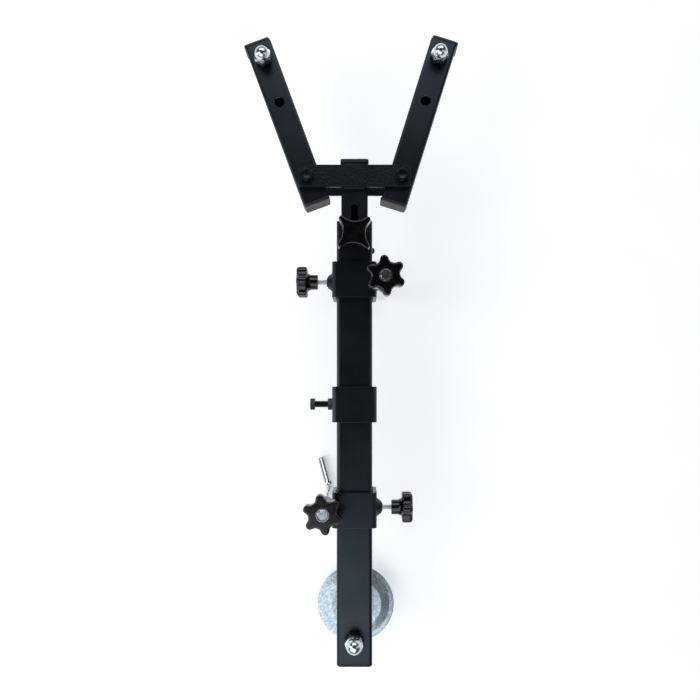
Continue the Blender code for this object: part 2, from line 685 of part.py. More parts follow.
# ================================ sleeves =======================================================
def build_sleeve(word, sleeve_y, hole_side, thread):
    """A square sleeve that slides on the mast, drilled on one side for its screw."""
    root = empty(f"sleeve_{word}", (0, sleeve_y, MAST_Z))
    sleeve = tube(
        f"sleeve_{word}_tube", SLEEVE_SIZE, SLEEVE_CORNER, SLEEVE_WALL, SLEEVE_LENGTH, PAINT, root,
        (0, -SLEEVE_LENGTH / 2, 0),
    )
    turn = TO_RIGHT if hole_side > 0 else TO_LEFT
    bore(sleeve, thread + TOUCH, 0, SLEEVE_SIZE, (0, 0, 0), turn)
    return root


# ================================ foot ==========================================================
def build_foot(parent):
    """The screw foot: a ball-ended rod locked by two nuts, an acorn nut on top and the disc."""
    root = empty("foot", (0, MAST_TOP_Y - MAST_LENGTH + FOOT_UP, 0), (0, 0, 0), parent)
    half = MAST_SIZE / 2 + TOUCH
    nut("foot_jam_nut", NUT_M12, M12, JAM_M12, DARK_STEEL, root, (0, 0, half))
    nut("foot_rear_nut", NUT_M12, M12, THICK_M12, DARK_STEEL, root, (0, 0, -half - THICK_M12))
    acorn_z = half + JAM_M12 + TOUCH
    acorn_nut(
        "foot_acorn_nut", NUT_M12, M12, ACORN_HEX_M12, ACORN_TALL_M12, ZINC, root, (0, 0, acorn_z),
        (0, 0, FOOT_ACORN_TURN),
    )

    ball_z = -FOOT_DROP + DISC_RIDGE - DISC_SAG + DISC_SHEET + BALL_RADIUS + 2 * TOUCH
    neck_z = ball_z + BALL_RADIUS * 1.35
    rod_top = acorn_z + ACORN_HEX_M12
    steps = 6
    start = math.asin(NECK_RADIUS / BALL_RADIUS)
    arc = [start + (math.pi - start) * i / steps for i in range(steps + 1)]
    profile = [(0, rod_top), (M12, rod_top), (M12, neck_z), (NECK_RADIUS, neck_z)]
    profile += [(BALL_RADIUS * math.sin(a), ball_z + BALL_RADIUS * math.cos(a)) for a in arc[:-1]]
    profile.append((0, ball_z - BALL_RADIUS))
    piece("foot_rod", turned(profile), ZINC, root)

    disc_root = empty("foot_ball", (0, 0, ball_z), (0, 0, 0), root)
    piece("foot_disc", disc_mesh(), ZINC_DISC, disc_root)


def disc_mesh():
    """A pressed disc about the ball's centre: a flat rim, a raised ridge and a socket in the middle."""
    cavity = BALL_RADIUS + TOUCH
    middle = -BALL_RADIUS - 2 * TOUCH
    ridge = middle + DISC_SAG
    rim = ridge - DISC_RIDGE
    socket_radius = cavity + SOCKET_WALL
    mouth_angle = math.asin(SOCKET_MOUTH / cavity)
    mouth_z = cavity * math.cos(mouth_angle)
    steps = 5
    arc = [math.pi + (mouth_angle - math.pi) * i / steps for i in range(steps + 1)]
    profile = [(cavity * math.sin(a), cavity * math.cos(a)) for a in arc]
    profile[0] = (0, -cavity)
    edge = 0.8 * MM
    foot_radius = socket_radius + 2 * MM
    profile += [
        (SOCKET_MOUTH + edge, mouth_z + edge),
        (socket_radius - 1.5 * MM, mouth_z + edge),
        (socket_radius, mouth_z - 1 * MM),
        (foot_radius, middle),
        (DISC_RIDGE_RADIUS - edge, ridge),
        (DISC_RIDGE_RADIUS + edge, ridge),
        (DISC_RADIUS - DISC_RIM, rim),
        (DISC_RADIUS - edge, rim),
        (DISC_RADIUS, rim - edge),
        (DISC_RADIUS, rim - DISC_SHEET),
        (DISC_RADIUS - DISC_RIM, rim - DISC_SHEET),
        (DISC_RIDGE_RADIUS, ridge - DISC_SHEET),
        (foot_radius, middle - DISC_SHEET),
        (0, middle - DISC_SHEET),
    ]
    return turned(profile, 40)


# ================================ the model =====================================================
for old in list(bpy.data.objects):
    bpy.data.objects.remove(old, do_unlink=True)
parts = bpy.data.collections.new("speed_bag_platform")
cutters = bpy.data.collections.new("cutters")
for group in (parts, cutters):
    bpy.context.scene.collection.children.link(group)

PAINT = material("satin_black_powder_coat", (0.018, 0.021, 0.026), 0.42, 0.0)
WRINKLE_PAINT = material("wrinkle_black_powder_coat", (0.013, 0.015, 0.018), 0.55, 0.0)
PLASTIC = material("black_plastic", (0.010, 0.011, 0.013), 0.35, 0.0)
DARK_STEEL = material("black_oxide_steel", (0.03, 0.032, 0.036), 0.4, 0.8)
ZINC = material("bright_zinc", (0.62, 0.66, 0.70), 0.22, 1.0)
ZINC_DISC = material("zinc_plated_disc", (0.60, 0.66, 0.70), 0.35, 1.0)

mast_frame = build_mast()
inner_frame = build_inner_mast()
for arm_word, arm_side, arm_lean in (("left", -1, LEFT_LEAN), ("right", 1, RIGHT_LEAN)):
    build_arm(arm_word, arm_side, arm_lean, inner_frame)
build_cross_knob(mast_frame)
build_foot(mast_frame)

top_sleeve = build_sleeve("top", TOP_SLEEVE_Y, -1, M6)
build_clamp_screw("top", -1, top_sleeve)
build_hook("top", 1, TOP_HOOK_TURN, TOP_STAR_TURN, top_sleeve)
middle_sleeve = build_sleeve("middle", 0, -1, M8)
build_set_bolt(middle_sleeve)
bottom_sleeve = build_sleeve("bottom", BOTTOM_SLEEVE_Y, 1, M6)
build_clamp_screw("bottom", 1, bottom_sleeve)
build_hook("bottom", -1, BOTTOM_HOOK_TURN, BOTTOM_STAR_TURN, bottom_sleeve)
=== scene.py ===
import json
import math

import bmesh
import bpy
from mathutils import Matrix, Vector


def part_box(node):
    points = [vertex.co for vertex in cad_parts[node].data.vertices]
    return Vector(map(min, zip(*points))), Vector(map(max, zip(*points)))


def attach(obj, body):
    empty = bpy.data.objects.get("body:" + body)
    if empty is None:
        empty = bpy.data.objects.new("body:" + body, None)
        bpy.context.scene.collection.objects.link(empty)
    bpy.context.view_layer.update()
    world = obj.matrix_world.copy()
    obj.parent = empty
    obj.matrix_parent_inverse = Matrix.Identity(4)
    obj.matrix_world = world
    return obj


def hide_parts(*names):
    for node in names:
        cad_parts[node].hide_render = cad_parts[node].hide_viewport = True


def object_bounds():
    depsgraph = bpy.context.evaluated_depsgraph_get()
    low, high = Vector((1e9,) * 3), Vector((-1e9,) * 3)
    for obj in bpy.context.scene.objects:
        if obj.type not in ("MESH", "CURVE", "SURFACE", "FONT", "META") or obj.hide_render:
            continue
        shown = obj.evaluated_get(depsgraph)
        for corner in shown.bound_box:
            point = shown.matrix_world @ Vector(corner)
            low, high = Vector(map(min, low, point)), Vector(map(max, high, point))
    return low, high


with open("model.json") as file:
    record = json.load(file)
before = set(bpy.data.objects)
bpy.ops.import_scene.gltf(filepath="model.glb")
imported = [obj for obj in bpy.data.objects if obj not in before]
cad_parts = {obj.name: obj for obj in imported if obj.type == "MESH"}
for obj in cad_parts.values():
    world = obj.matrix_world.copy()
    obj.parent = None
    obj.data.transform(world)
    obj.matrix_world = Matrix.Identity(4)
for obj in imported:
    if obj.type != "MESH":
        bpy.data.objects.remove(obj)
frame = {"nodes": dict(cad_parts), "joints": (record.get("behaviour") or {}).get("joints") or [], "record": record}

CAD_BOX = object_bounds()
MM = 0.001
X = Vector((1, 0, 0))
Y = Vector((0, 1, 0))
Z = Vector((0, 0, 1))
RECORD = frame["record"]
SLOT_OF = {part["node"]: part["material_slot"] for part in RECORD["subparts"]}
BODY_OF = {node: body for body, nodes in RECORD["behaviour"]["bodies"].items() for node in nodes}
JOINTS = {joint["name"]: joint for joint in frame["joints"]}

# ---- studio ------------------------------------------------------------------------------------
CAMERA_PLACE = (0.0096, 0.0190, 0.840)
CAMERA_LENS = 36.55
CAMERA_SHIFT = (-0.0186, 0.0535)
FLOOR_REACH = 12.0
FLOOR_GLOW = 0.42
ROOM_TINT = "e6eaee"
HORIZON_GLOW = 0.55              # a pale wall all round, level with the floor
CEILING_GLOW = 0.03
WALL_TOP = 0.45                  # the sine of the angle at which the wall gives way to the dark ceiling
SOFT_BOXES = (
    # name, watts, width, height, place, aimed at, tint
    ("tail_box", 14.0, 1.7, 1.3, (-0.35, -0.9, 1.05), (-0.1, -0.3, 0.0), "f2f7ff"),
    ("arm_box", 12.0, 1.8, 0.8, (0.0, 1.3, 1.05), (0.0, 0.4, 0.0), "f2f7ff"),
    ("left_box", 8.0, 0.6, 2.0, (-1.3, 0.0, 0.7), (0.0, 0.0, 0.0), "f8faff"),
    ("right_box", 3.0, 0.6, 2.0, (1.3, 0.0, 0.7), (0.0, 0.0, 0.0), "f8faff"),
)

# ---- sizes the frame doesn't state ---------------------------------------------------------------
TUBE_WALL = 2 * MM
SLEEVE_WALL = 4 * MM
MAST_CORNER = 4 * MM
INNER_CORNER = 3 * MM
SLEEVE_CORNER = 5 * MM
CUT_EDGE = 0.5 * MM             # a saw-cut tube end, deburred
CAP_ROUND = 1.4 * MM
MAST_CAP_ROUND = 2.6 * MM
PLATE_CORNER = 4.5 * MM
PLATE_ROUND = 0.9 * MM
CAP_WALL = 2 * MM
CAP_ROOM = 0.6 * MM             # between a cap's plug and the tube's inside
CAP_LIP = 3 * MM
INNER_CAP_LIP = 4 * MM
SLOT_WIDTH = 7.6 * MM
SLOT_LENGTH = 150 * MM
SLOT_DOWN = 47 * MM             # from the inner mast's end
SPARE_HOLE_RADIUS = 5.7 * MM
SPARE_HOLE_BACK = 50 * MM       # from the board bolt
HOLE_ROOM = 0.3 * MM            # round a bolt in a drilled hole
THREAD_ROOM = 0.15 * MM         # round a thread in its nut
GRIP_ROOM = 0.2 * MM            # round a stud in a moulding or a boss
THROUGH = 30 * MM               # how far a drill reaches each way
HEAD_M8 = 5.3 * MM
ACORN_HEX_M10 = 8 * MM
ACORN_HEX_M12 = 10 * MM
M6, M8, M10, M12 = 3 * MM, 4 * MM, 5 * MM, 6 * MM
PITCH = {M6: 1.0 * MM, M8: 1.25 * MM, M10: 1.5 * MM, M12: 1.75 * MM}
CROSS_GRIP = {
    "count": 4, "notch": 12.2 * MM, "lobe": 2.9 * MM, "head": 16 * MM,
    "hub_radius": 9 * MM, "hub_flare": 1.5 * MM, "rounds": (1.6 * MM, 2.2 * MM),
}
STAR_GRIP = {
    "count": 6, "notch": 15.5 * MM, "lobe": 4.6 * MM, "head": 17 * MM,
    "hub_radius": 10 * MM, "hub_flare": 2.5 * MM, "rounds": (2.4 * MM, 3 * MM),
}
CLAMP_GRIP = {
    "count": 6, "notch": 15 * MM, "lobe": 5 * MM, "head": 12 * MM,
    "hub_radius": 8.5 * MM, "hub_flare": 3 * MM, "rounds": (3.4 * MM, 2 * MM),
}
HOOK_BEND = 12 * MM
HOOK_THREAD = 96 * MM
BEAD = 2.1 * MM
RIPPLE = 1.5 * MM
ROUND = 56


# ---- measures taken from the frame -------------------------------------------------------------
def span(node, axis, origin=Vector((0, 0, 0))):
    """How far a CAD node reaches along an axis, from an origin: its low and high end."""
    reach = [(vertex.co - origin).dot(axis) for vertex in frame["nodes"][node].data.vertices]
    return min(reach), max(reach)


def centre(node):
    """The middle of a CAD node's box."""
    low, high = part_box(node)
    return (low + high) / 2


def stand(origin, up=Z, side=X):
    """A place to build at: local Z points up and local X points to the side."""
    across = up.cross(side).normalized()
    side = across.cross(up).normalized()
    turn = Matrix((side, across, up)).transposed().to_4x4()
    return Matrix.Translation(origin) @ turn


def seat(node, up=Z):
    """A node's own place, with local X to its furthest corner: place, low, high and that reach."""
    middle = centre(node)
    reaches = [vertex.co - middle for vertex in frame["nodes"][node].data.vertices]
    reaches = [reach - up * reach.dot(up) for reach in reaches]
    far = max(reaches, key=lambda reach: reach.length)
    low, high = span(node, up, middle)
    return stand(middle, up, far), low, high, far.length


def arm_axis(word):
    """The direction along an arm, from its pivot to the board bolt."""
    run = centre(f"board_jam_nut_{word}") - centre(f"pivot_bolt_{word}")
    run.z = 0
    return run.normalized()


# ---- shaping -----------------------------------------------------------------------------------
def put(shape, place):
    """Sets a shape in its place."""
    bmesh.ops.transform(shape, matrix=place, verts=shape.verts)
    return shape


def lathe(profile, steps=ROUND):
    """A (radius, height) profile turned about Z. It closes on the axis, or on itself round a bore."""
    shape = bmesh.new()
    points = [shape.verts.new((radius, 0, height)) for radius, height in profile]
    edges = [shape.edges.new(pair) for pair in zip(points, points[1:])]
    if profile[0][0] > 0:
        edges.append(shape.edges.new((points[-1], points[0])))
    bmesh.ops.spin(
        shape, geom=points + edges, cent=(0, 0, 0), axis=(0, 0, 1), angle=math.tau, steps=steps,
        use_merge=True,
    )
    bmesh.ops.remove_doubles(shape, verts=shape.verts, dist=0.001 * MM)
    bmesh.ops.recalc_face_normals(shape, faces=shape.faces)
    return shape


def bar(radius, low, high, chamfer=0.0, steps=ROUND):
    """A round bar along Z."""
    profile = [(0, high), (radius - chamfer, high), (radius, high - chamfer)]
    profile += [(radius, low + chamfer), (radius - chamfer, low), (0, low)]
    if not chamfer:
        profile = [(0, high), (radius, high), (radius, low), (0, low)]
    return lathe(profile, steps)


def slab(outline, low, high):
    """A flat outline raised along Z."""
    shape = bmesh.new()
    face = shape.faces.new([shape.verts.new((x, y, low)) for x, y in outline])
    raised = bmesh.ops.extrude_face_region(shape, geom=[face])["geom"]
    moved = [item for item in raised if isinstance(item, bmesh.types.BMVert)]
    bmesh.ops.translate(shape, verts=moved, vec=(0, 0, high - low))
    bmesh.ops.recalc_face_normals(shape, faces=shape.faces)
    return shape


def soften(shape, height, width, segments=3):
    """Rounds the sharp edges that lie at one height."""
    edges = [
        edge for edge in shape.edges
        if all(abs(vertex.co.z - height) < 0.01 * MM for vertex in edge.verts)
        and len(edge.link_faces) == 2
        and edge.calc_face_angle(0) > math.radians(40)
    ]
    bmesh.ops.bevel(
        shape, geom=edges, offset=width, offset_type="OFFSET", segments=segments, profile=0.5,
        affect="EDGES", material=-1, clamp_overlap=True,
    )
    return shape


def square_bar(size_x, size_y, corner, low, high, segments=8):
    """A bar along Z with a rounded square section."""
    shape = bmesh.new()
    bmesh.ops.create_cube(shape, size=1)
    bmesh.ops.scale(shape, verts=shape.verts, vec=(size_x, size_y, high - low))
    bmesh.ops.translate(shape, verts=shape.verts, vec=(0, 0, (low + high) / 2))
    half = (high - low) / 2
    upright = [edge for edge in shape.edges if abs(edge.verts[0].co.z - edge.verts[1].co.z) > half]
    bmesh.ops.bevel(
        shape, geom=upright, offset=corner, offset_type="OFFSET", segments=segments, profile=0.5,
        affect="EDGES", material=-1, clamp_overlap=True,
    )
    return shape


def polygon(radius, sides):
    """A regular outline with one corner on the X axis."""
    return [on_arc(0, 0, radius, math.tau * i / sides) for i in range(sides)]


def on_arc(distance, bearing, radius, angle):
    """A point on an arc whose middle is given by its distance and bearing."""
    return (
        distance * math.cos(bearing) + radius * math.cos(angle),
        distance * math.sin(bearing) + radius * math.sin(angle),
    )


def lobes(count, tip, notch, lobe, steps=10):
    """Round lobes joined by hollow arcs that meet them smoothly."""
    half = math.pi / count
    reach = tip - lobe
    flat = reach * math.cos(half)
    scoop = (reach**2 + notch**2 - 2 * notch * flat - lobe**2) / (2 * (lobe + flat - notch))
    far = notch + scoop
    meet = math.atan2(far * math.sin(half), far * math.cos(half) - reach)
    points = []
    for i in range(count):
        heading = 2 * half * i
        for s in range(steps + 1):
            points.append(on_arc(reach, heading, lobe, heading + meet * (2 * s / steps - 1)))
        inward = heading + half + math.pi
        for s in range(1, steps):
            points.append(on_arc(far, heading + half, scoop, inward + (meet - half) * (1 - 2 * s / steps)))
    return points


def thread(radius, low, high, steps=28):
    """A screw thread along Z with chamfered ends."""
    pitch = PITCH[radius]
    deep = 0.58 * pitch
    shape = bmesh.new()
    points = []
    for i in range(math.ceil((high - low) / pitch) + 4):
        base = low + (i - 2) * pitch
        for along, inward in ((0.0, 0.0), (0.15, 0.0), (0.5, 1.0), (0.65, 1.0)):
            points.append(shape.verts.new((radius - inward * deep, 0, base + along * pitch)))
    edges = [shape.edges.new(pair) for pair in zip(points, points[1:])]
    bmesh.ops.spin(
        shape, geom=points + edges, cent=(0, 0, 0), axis=(0, 0, 1), dvec=(0, 0, pitch / steps),
        angle=math.tau, steps=steps,
    )
    bmesh.ops.remove_doubles(shape, verts=shape.verts, dist=0.004 * MM)
    for height, out in ((low, -1), (high, 1)):
        cut = bmesh.ops.bisect_plane(
            shape, geom=shape.verts[:] + shape.edges[:] + shape.faces[:], dist=0.0001 * MM,
            plane_co=(0, 0, height), plane_no=(0, 0, out), clear_outer=True,
        )["geom_cut"]
        bmesh.ops.edgeloop_fill(shape, edges=[item for item in cut if isinstance(item, bmesh.types.BMEdge)])
    for vertex in shape.verts:
        flat = math.hypot(vertex.co.x, vertex.co.y)
        most = radius - 0.9 * deep + min(vertex.co.z - low, high - vertex.co.z)
        if flat > most:
            vertex.co.x *= most / flat
            vertex.co.y *= most / flat
    bmesh.ops.recalc_face_normals(shape, faces=shape.faces)
    return shape


def hexagon_cut(corner, low, high, chamfer_low=True, chamfer_high=True):
    """The turned blank that takes the corners off a hexagon at 30 degrees."""
    face = corner * math.cos(math.pi / 6) * 0.96
    wide = corner * 1.25
    slope = math.tan(math.radians(30))
    fall = (wide - face) * slope
    past = 0.5 * MM
    inner = face - past / slope
    profile = [(0, high + past), (inner if chamfer_high else wide, high + past)]
    if chamfer_high:
        profile.append((wide, high - fall))
    if chamfer_low:
        profile.append((wide, low + fall))
    profile += [(inner if chamfer_low else wide, low - past), (0, low - past)]
    return lathe(profile, 72)


def mesh_object(name, shape):
    """An object from a shape."""
    mesh = bpy.data.meshes.new(name)
    shape.to_mesh(mesh)
    shape.free()
    item = bpy.data.objects.new(name, mesh)
    bpy.context.scene.collection.objects.link(item)
    return item


def baked(item):
    """The object's mesh with its modifiers applied."""
    graph = bpy.context.evaluated_depsgraph_get()
    mesh = bpy.data.meshes.new_from_object(item.evaluated_get(graph))
    item.modifiers.clear()
    item.data = mesh
    return mesh


def made(name, nodes, shape, steps=(), sharp=32, stands_for=True):
    """Joins and cuts a shape, smooths it, and gives it the finish and the body of its first node."""
    item = mesh_object(name, shape)
    tools = []
    for kind, other in steps:
        tool = mesh_object("tool", other)
        tools.append(tool)
        step = item.modifiers.new(kind, "BOOLEAN")
        step.operation = kind
        step.object = tool
    mesh = baked(item)
    for tool in tools:
        bpy.data.objects.remove(tool)
    tidy = bmesh.new()
    tidy.from_mesh(mesh)
    bmesh.ops.remove_doubles(tidy, verts=tidy.verts, dist=0.002 * MM)
    bmesh.ops.dissolve_degenerate(tidy, edges=tidy.edges, dist=0.002 * MM)
    tidy.to_mesh(mesh)
    tidy.free()
    mesh.shade_smooth()
    mesh.set_sharp_from_angle(angle=math.radians(sharp))
    even = item.modifiers.new("even", "WEIGHTED_NORMAL")
    even.keep_sharp = True
    mesh = baked(item)
    slot = SLOT_OF[nodes[0]]
    mesh.materials.clear()
    mesh.materials.append(FINISHES[slot])
    if stands_for:
        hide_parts(*nodes)
    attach(item, BODY_OF[nodes[0]])
    return item


# ---- finishes ----------------------------------------------------------------------------------
def linear(code):
    """An sRGB hex colour as linear values."""
    values = [int(code[i:i + 2], 16) / 255 for i in (0, 2, 4)]
    return tuple(v / 12.92 if v <= 0.04045 else ((v + 0.055) / 1.055) ** 2.4 for v in values)


def add(tree, kind, inputs=None, **settings):
    """Adds a node with its settings. An input takes a value or another node's output."""
    made_node = tree.nodes.new(kind)
    for key, value in settings.items():
        setattr(made_node, key, value)
    for key, value in (inputs or {}).items():
        if isinstance(value, bpy.types.NodeSocket):
            tree.links.new(value, made_node.inputs[key])
        else:
            made_node.inputs[key].default_value = value
    return made_node


def blank(name, **values):
    """A new material with its Principled shader and Object coordinates."""
    finish = bpy.data.materials.new(name)
    finish.use_nodes = True
    tree = finish.node_tree
    shader = tree.nodes["Principled BSDF"]
    for key, value in values.items():
        shader.inputs[key.replace("_", " ")].default_value = value
    place = add(tree, "ShaderNodeTexCoord").outputs["Object"]
    return finish, tree, shader, place


def per_size(size):
    """A noise texture's scale for features of a real size in metres."""
    return 1 / size


def powder_coat(name, dark, pale, peel, height, rough, gleam=0.5):
    """Black polyester powder coat, sprayed and baked: satin, with the orange peel of its flow."""
    finish, tree, shader, place = blank(
        name, Metallic=0.0, IOR=1.5, Specular_IOR_Level=gleam, Specular_Tint=(*linear("d8e8fa"), 1)
    )
    drift = add(tree, "ShaderNodeTexNoise", {"Vector": place, "Scale": per_size(45 * MM), "Detail": 3.0})
    specks = add(tree, "ShaderNodeTexNoise", {"Vector": place, "Scale": per_size(peel), "Detail": 2.0})
    fine = add(tree, "ShaderNodeTexNoise", {"Vector": place, "Scale": per_size(peel / 3), "Detail": 1.0})
    tone = add(
        tree, "ShaderNodeMapRange",
        {"Value": specks.outputs["Fac"], "From Min": 0.3, "From Max": 0.75, "To Min": 0.0, "To Max": 1.0},
    )
    colour = add(
        tree, "ShaderNodeMix",
        {"Factor": tone.outputs["Result"], 6: (*linear(dark), 1), 7: (*linear(pale), 1)}, data_type="RGBA",
    )
    tree.links.new(colour.outputs[2], shader.inputs["Base Color"])
    gloss = add(
        tree, "ShaderNodeMapRange",
        {
            "Value": drift.outputs["Fac"], "From Min": 0.3, "From Max": 0.7,
            "To Min": rough[0], "To Max": rough[1],
        },
    )
    tree.links.new(gloss.outputs["Result"], shader.inputs["Roughness"])
    peel_bump = add(
        tree, "ShaderNodeBump", {"Height": specks.outputs["Fac"], "Strength": 0.9, "Distance": height}
    )
    fine_bump = add(
        tree, "ShaderNodeBump",
        {
            "Height": fine.outputs["Fac"], "Strength": 0.6, "Distance": height / 4,
            "Normal": peel_bump.outputs["Normal"],
        },
    )
    tree.links.new(fine_bump.outputs["Normal"], shader.inputs["Normal"])
    return finish


def moulded(name, dark, pale, rough, ripple, height):
    """Moulded black plastic: even colour, faint flow ripple, and handling that dulls it in patches."""
    finish, tree, shader, place = blank(name, Metallic=0.0, IOR=1.52)
    flow = add(
        tree, "ShaderNodeTexNoise",
        {"Vector": place, "Scale": per_size(ripple), "Detail": 2.0, "Distortion": 0.6},
    )
    scuff = add(tree, "ShaderNodeTexNoise", {"Vector": place, "Scale": per_size(9 * MM), "Detail": 6.0})
    colour = add(
        tree, "ShaderNodeMix",
        {"Factor": scuff.outputs["Fac"], 6: (*linear(dark), 1), 7: (*linear(pale), 1)}, data_type="RGBA",
    )
    tree.links.new(colour.outputs[2], shader.inputs["Base Color"])
    gloss = add(
        tree, "ShaderNodeMapRange",
        {
            "Value": scuff.outputs["Fac"], "From Min": 0.35, "From Max": 0.7,
            "To Min": rough[0], "To Max": rough[1],
        },
    )
    tree.links.new(gloss.outputs["Result"], shader.inputs["Roughness"])
    bump = add(tree, "ShaderNodeBump", {"Height": flow.outputs["Fac"], "Strength": 0.5, "Distance": height})
    tree.links.new(bump.outputs["Normal"], shader.inputs["Normal"])
    return finish


def plated(name, cool, warm, rough, grain, height):
    """Plated steel: a metal skin whose tint and gloss drift, over the faint texture of the steel."""
    finish, tree, shader, place = blank(name, Metallic=1.0)
    drift = add(tree, "ShaderNodeTexNoise", {"Vector": place, "Scale": per_size(14 * MM), "Detail": 4.0})
    skin = add(tree, "ShaderNodeTexNoise", {"Vector": place, "Scale": per_size(grain), "Detail": 4.0})
    colour = add(
        tree, "ShaderNodeMix",
        {"Factor": drift.outputs["Fac"], 6: (*linear(cool), 1), 7: (*linear(warm), 1)}, data_type="RGBA",
    )
    tree.links.new(colour.outputs[2], shader.inputs["Base Color"])
    gloss = add(
        tree, "ShaderNodeMapRange",
        {
            "Value": skin.outputs["Fac"], "From Min": 0.3, "From Max": 0.7,
            "To Min": rough[0], "To Max": rough[1],
        },
    )
    tree.links.new(gloss.outputs["Result"], shader.inputs["Roughness"])
    bump = add(tree, "ShaderNodeBump", {"Height": skin.outputs["Fac"], "Strength": 0.4, "Distance": height})
    tree.links.new(bump.outputs["Normal"], shader.inputs["Normal"])
    return finish


def spangled_zinc(name):
    """Zinc on pressed sheet: crystals a few millimetres wide, each with its own tone and gloss."""
    finish, tree, shader, place = blank(name, Metallic=1.0)
    bent = add(tree, "ShaderNodeTexNoise", {"Vector": place, "Scale": per_size(6 * MM), "Detail": 2.0})
    shifted = add(
        tree, "ShaderNodeMix", {"Factor": 0.006, 4: place, 5: bent.outputs["Color"]}, data_type="VECTOR"
    )
    crystals = add(
        tree, "ShaderNodeTexVoronoi",
        {"Vector": shifted.outputs[1], "Scale": per_size(1.9 * MM), "Randomness": 1.0},
    )
    tone = add(tree, "ShaderNodeSeparateColor", {"Color": crystals.outputs["Color"]})
    colour = add(
        tree, "ShaderNodeMix",
        {"Factor": tone.outputs["Red"], 6: (*linear("8d9ba3"), 1), 7: (*linear("c4cdd0"), 1)},
        data_type="RGBA",
    )
    tree.links.new(colour.outputs[2], shader.inputs["Base Color"])
    gloss = add(
        tree, "ShaderNodeMapRange", {"Value": tone.outputs["Green"], "To Min": 0.3, "To Max": 0.42}
    )
    tree.links.new(gloss.outputs["Result"], shader.inputs["Roughness"])
    bump = add(
        tree, "ShaderNodeBump", {"Height": tone.outputs["Blue"], "Strength": 0.25, "Distance": 0.02 * MM}
    )
    tree.links.new(bump.outputs["Normal"], shader.inputs["Normal"])
    return finish


def pale_floor():
    """Matt white paper that also glows a little, so that it stays even under the boxes."""
    finish, tree, shader, place = blank("white_paper", Roughness=0.9, Metallic=0.0)
    fibre = add(tree, "ShaderNodeTexNoise", {"Vector": place, "Scale": per_size(60 * MM), "Detail": 3.0})
    colour = add(
        tree, "ShaderNodeMix",
        {"Factor": fibre.outputs["Fac"], 6: (*linear("eeeff0"), 1), 7: (*linear("f6f7f8"), 1)},
        data_type="RGBA",
    )
    tree.links.new(colour.outputs[2], shader.inputs["Base Color"])
    shader.inputs["Emission Color"].default_value = (1, 1, 1, 1)
    shader.inputs["Emission Strength"].default_value = FLOOR_GLOW
    return finish


FINISHES = {
    # cool black sheen that drifts a little, over a fine orange peel
    "satin_black_paint": powder_coat(
        "satin_black_powder_coat", "04080a", "0a0f12", 2.0 * MM, 0.07 * MM, (0.27, 0.37)
    ),
    # coarse pebbled black that breaks the light into specks
    "wrinkle_black_paint": powder_coat(
        "wrinkle_black_powder_coat", "020304", "0a0e11", 2.4 * MM, 0.8 * MM, (0.36, 0.5), 0.3
    ),
    # softer, duller black than the paint next to it
    "cap_plastic": moulded("black_polyethylene", "07090b", "0c0f12", (0.44, 0.58), 5 * MM, 0.05 * MM),
    # deep black with bright, soft-edged highlights
    "knob_plastic": moulded("black_phenolic", "030404", "070809", (0.14, 0.26), 7 * MM, 0.03 * MM),
    # dark metal whose edges catch the light
    "black_steel": plated("black_oxide_steel", "3a3d42", "24272b", (0.24, 0.4), 1.6 * MM, 0.02 * MM),
    # near-mirror silver, slightly blue
    "bright_zinc": plated("bright_zinc_plate", "c6d0d6", "d6d9d8", (0.14, 0.28), 2.5 * MM, 0.01 * MM),
    # mottled grey-silver, duller than the bolts
    "zinc_disc": spangled_zinc("spangled_zinc_sheet"),
}


# ---- camera, floor and light -------------------------------------------------------------------
def studio():
    """Looks straight down on the flat frame, over a pale floor, in the light of soft boxes."""
    scene = bpy.context.scene
    scene.view_settings.view_transform = "Standard"
    scene.view_settings.look = "None"

    lens = bpy.data.cameras.new("camera")
    lens.sensor_width = 36
    lens.lens = CAMERA_LENS
    lens.shift_x, lens.shift_y = CAMERA_SHIFT
    lens.clip_start, lens.clip_end = 0.01, 50
    camera = bpy.data.objects.new("camera", lens)
    camera.location = CAMERA_PLACE
    scene.collection.objects.link(camera)
    scene.camera = camera

    shape = bmesh.new()
    bmesh.ops.create_grid(shape, x_segments=1, y_segments=1, size=FLOOR_REACH)
    bmesh.ops.translate(shape, verts=shape.verts, vec=(0, 0, CAD_BOX[0].z))
    floor = mesh_object("floor", shape)
    floor.data.materials.append(pale_floor())

    for name, watts, width, height, place, target, tint in SOFT_BOXES:
        box = bpy.data.lights.new(name, "AREA")
        box.shape = "RECTANGLE"
        box.size, box.size_y = width, height
        box.energy = watts
        box.color = linear(tint)
        lamp = bpy.data.objects.new(name, box)
        lamp.location = place
        lamp.rotation_mode = "QUATERNION"
        lamp.rotation_quaternion = (Vector(target) - Vector(place)).to_track_quat("-Z", "Y")
        scene.collection.objects.link(lamp)

    world = bpy.data.worlds.new("studio")
    world.use_nodes = True
    scene.world = world
    tree = world.node_tree
    room = tree.nodes["Background"]
    room.inputs["Color"].default_value = (*linear(ROOM_TINT), 1)
    sight = add(tree, "ShaderNodeTexCoord").outputs["Generated"]
    height = add(tree, "ShaderNodeSeparateXYZ", {"Vector": sight}).outputs["Z"]
    glow = add(
        tree, "ShaderNodeMapRange",
        {
            "Value": height, "From Min": 0.0, "From Max": WALL_TOP,
            "To Min": HORIZON_GLOW, "To Max": CEILING_GLOW,
        },
        interpolation_type="SMOOTHSTEP",
    )
    tree.links.new(glow.outputs["Result"], room.inputs["Strength"])


